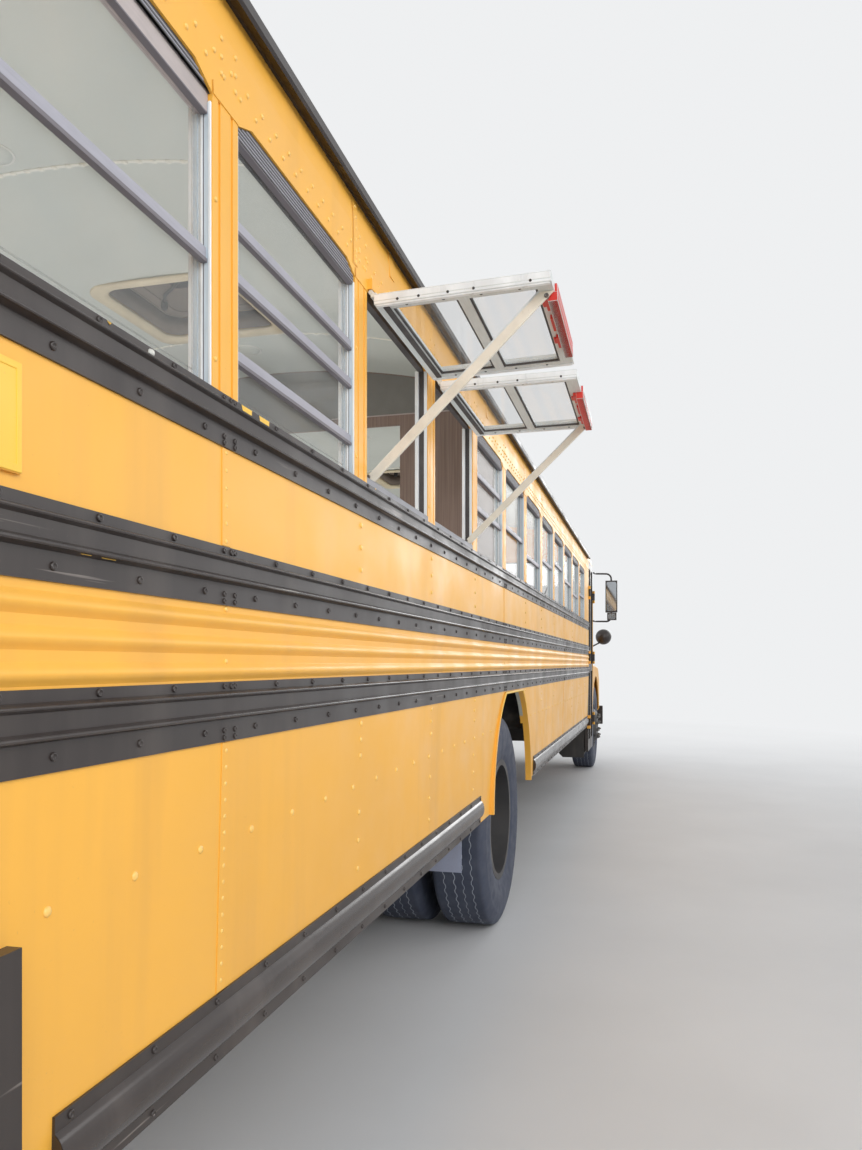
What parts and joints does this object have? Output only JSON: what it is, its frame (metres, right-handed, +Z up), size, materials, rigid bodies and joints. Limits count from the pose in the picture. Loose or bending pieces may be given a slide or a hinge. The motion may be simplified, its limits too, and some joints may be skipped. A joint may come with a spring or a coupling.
{
  "type": "school bus",
  "caption": "Conventional school bus with a tilting hood, black rub rails, push-out side windows propped open, a folding entrance, a rear door and roof hatches.",
  "frame": {"origin": "on the ground under the middle of the bus's box, half-way along its length and width", "axes": "+X forward, +Y to the bus's left, +Z up"},
  "size_m": [11.855, 3.3846, 2.985],
  "materials": {
    "body_yellow": "weathered gloss",
    "trim_black": "satin",
    "chassis_black": "matte",
    "glass": "clear",
    "window_aluminium": "satin",
    "floor_grey": "matte",
    "ceiling_paint": "satin",
    "plywood": "matte",
    "tyre": "matte",
    "rim_steel": "satin",
    "engine_iron": "matte",
    "exhaust_steel": "matte",
    "flap_rubber": "matte",
    "lamp_red": "gloss",
    "lamp_clear": "gloss",
    "mirror": "polished",
    "dash_plastic": "matte",
    "seat_cover": "matte",
    "hatch_plastic": "satin",
    "stop_red": "gloss"
  },
  "bodies": {
    "bus": {"body_glass": "glass", "body_lamps": "lamp_red", "body_side_left": "body_yellow", "body_side_right": "body_yellow", "bumpers": "trim_black", "cab_shell": "body_yellow", "cabin_floor": "floor_grey", "ceiling_lining": "ceiling_paint", "chassis_frame": "chassis_black", "cross_members": "chassis_black", "driver_controls": "dash_plastic", "driver_seat": "seat_cover", "engine_and_gearbox": "engine_iron", "exhaust": "exhaust_steel", "frame_brackets": "chassis_black", "front_axle": "chassis_black", "fuel_tank": "chassis_black", "mirrors": "trim_black", "mud_flaps": "flap_rubber", "plywood_partition": "plywood", "rear_axle": "chassis_black", "rear_cap": "body_yellow", "roof": "body_yellow", "rub_rails": "trim_black", "step_well": "chassis_black", "wheel_houses": "floor_grey", "window_frames": "window_aluminium"},
    "hood": {"tilt_hood": "body_yellow", "grille": "trim_black", "front_lamps": "lamp_clear", "cross_view_mirrors": "mirror"},
    "knuckle_left": {"knuckle_left": "chassis_black"},
    "knuckle_right": {"knuckle_right": "chassis_black"},
    "front_wheel_left": {"front_tyre_left": "tyre", "front_rim_left": "rim_steel"},
    "front_wheel_right": {"front_tyre_right": "tyre", "front_rim_right": "rim_steel"},
    "rear_wheels_left": {"rear_tyres_left": "tyre", "rear_rims_left": "rim_steel"},
    "rear_wheels_right": {"rear_tyres_right": "tyre", "rear_rims_right": "rim_steel"},
    "entrance_leaf_front": {"entrance_leaf_front": "trim_black", "entrance_glass_front": "glass"},
    "entrance_leaf_rear": {"entrance_leaf_rear": "trim_black", "entrance_glass_rear": "glass"},
    "rear_door": {"rear_door": "body_yellow", "rear_door_glass": "glass"},
    "roof_hatch_lid_1": {"roof_hatch_lid_1": "hatch_plastic"},
    "roof_hatch_lid_2": {"roof_hatch_lid_2": "hatch_plastic"},
    "push_out_window_left_1": {"push_out_frame_left_1": "window_aluminium", "push_out_glass_left_1": "glass"},
    "push_out_window_left_2": {"push_out_frame_left_2": "window_aluminium", "push_out_glass_left_2": "glass"},
    "push_out_window_right_1": {"push_out_frame_right_1": "window_aluminium", "push_out_glass_right_1": "glass"},
    "push_out_window_right_2": {"push_out_frame_right_2": "window_aluminium", "push_out_glass_right_2": "glass"},
    "stop_arm": {"stop_arm": "stop_red"}
  },
  "joints": [
    {"name": "steer_left", "type": "hinge", "parent": "bus", "child": "knuckle_left", "pos_m": [5.0775, 0.86, 0.5275], "axis": [0, 0, 1], "range_deg": [-38, 38]},
    {"name": "steer_right", "type": "hinge", "parent": "bus", "child": "knuckle_right", "pos_m": [5.0775, -0.86, 0.5275], "axis": [0, 0, 1], "range_deg": [-38, 38]},
    {"name": "front_spin_left", "type": "hinge", "parent": "knuckle_left", "child": "front_wheel_left", "pos_m": [5.0775, 1.025, 0.5275], "axis": [0, 1, 0], "continuous": true},
    {"name": "front_spin_right", "type": "hinge", "parent": "knuckle_right", "child": "front_wheel_right", "pos_m": [5.0775, -1.025, 0.5275], "axis": [0, 1, 0], "continuous": true},
    {"name": "rear_spin_left", "type": "hinge", "parent": "bus", "child": "rear_wheels_left", "pos_m": [-1.9325, 0.865, 0.5275], "axis": [0, 1, 0], "continuous": true},
    {"name": "rear_spin_right", "type": "hinge", "parent": "bus", "child": "rear_wheels_right", "pos_m": [-1.9325, -0.865, 0.5275], "axis": [0, 1, 0], "continuous": true},
    {"name": "entrance_rear", "type": "hinge", "parent": "bus", "child": "entrance_leaf_rear", "pos_m": [3.1825, -1.232, 1.4], "axis": [0, 0, -1], "range_deg": [0, 90]},
    {"name": "entrance_front", "type": "hinge", "parent": "bus", "child": "entrance_leaf_front", "pos_m": [3.8325, -1.232, 1.4], "axis": [0, 0, 1], "range_deg": [0, 90]},
    {"name": "rear_door_hinge", "type": "hinge", "parent": "bus", "child": "rear_door", "pos_m": [-5.8645, -0.46, 1.8], "axis": [0, 0, 1], "range_deg": [0, 100]},
    {"name": "hatch_hinge_1", "type": "hinge", "parent": "bus", "child": "roof_hatch_lid_1", "pos_m": [-2.6835, 0, 2.908], "axis": [0, 1, 0], "range_deg": [0, 80]},
    {"name": "hatch_hinge_2", "type": "hinge", "parent": "bus", "child": "roof_hatch_lid_2", "pos_m": [0.8165, 0, 2.908], "axis": [0, 1, 0], "range_deg": [0, 80]},
    {"name": "push_out_left_1", "type": "hinge", "parent": "bus", "child": "push_out_window_left_1", "pos_m": [-3.9795, 1.228, 2.268], "axis": [-1, 0, 0], "range_deg": [0, 91.5]},
    {"name": "push_out_left_2", "type": "hinge", "parent": "bus", "child": "push_out_window_left_2", "pos_m": [-3.2795, 1.228, 2.268], "axis": [-1, 0, 0], "range_deg": [0, 90.5]},
    {"name": "push_out_right_1", "type": "hinge", "parent": "bus", "child": "push_out_window_right_1", "pos_m": [-3.9795, -1.228, 2.268], "axis": [1, 0, 0], "range_deg": [0, 91.5]},
    {"name": "push_out_right_2", "type": "hinge", "parent": "bus", "child": "push_out_window_right_2", "pos_m": [-3.2795, -1.228, 2.268], "axis": [1, 0, 0], "range_deg": [0, 90.5]},
    {"name": "hood_tilt", "type": "hinge", "parent": "bus", "child": "hood", "pos_m": [5.8475, 0, 0.8], "axis": [0, 1, 0], "range_deg": [0, 60]},
    {"name": "stop_arm_hinge", "type": "hinge", "parent": "bus", "child": "stop_arm", "pos_m": [2.9975, 1.265, 1.61], "axis": [0, 0, -1], "range_deg": [0, 90]}
  ],
  "couplings": [
    {"joint": "steer_right", "follows": "steer_left", "ratio": 1},
    {"joint": "entrance_front", "follows": "entrance_rear", "ratio": 1}
  ]
}
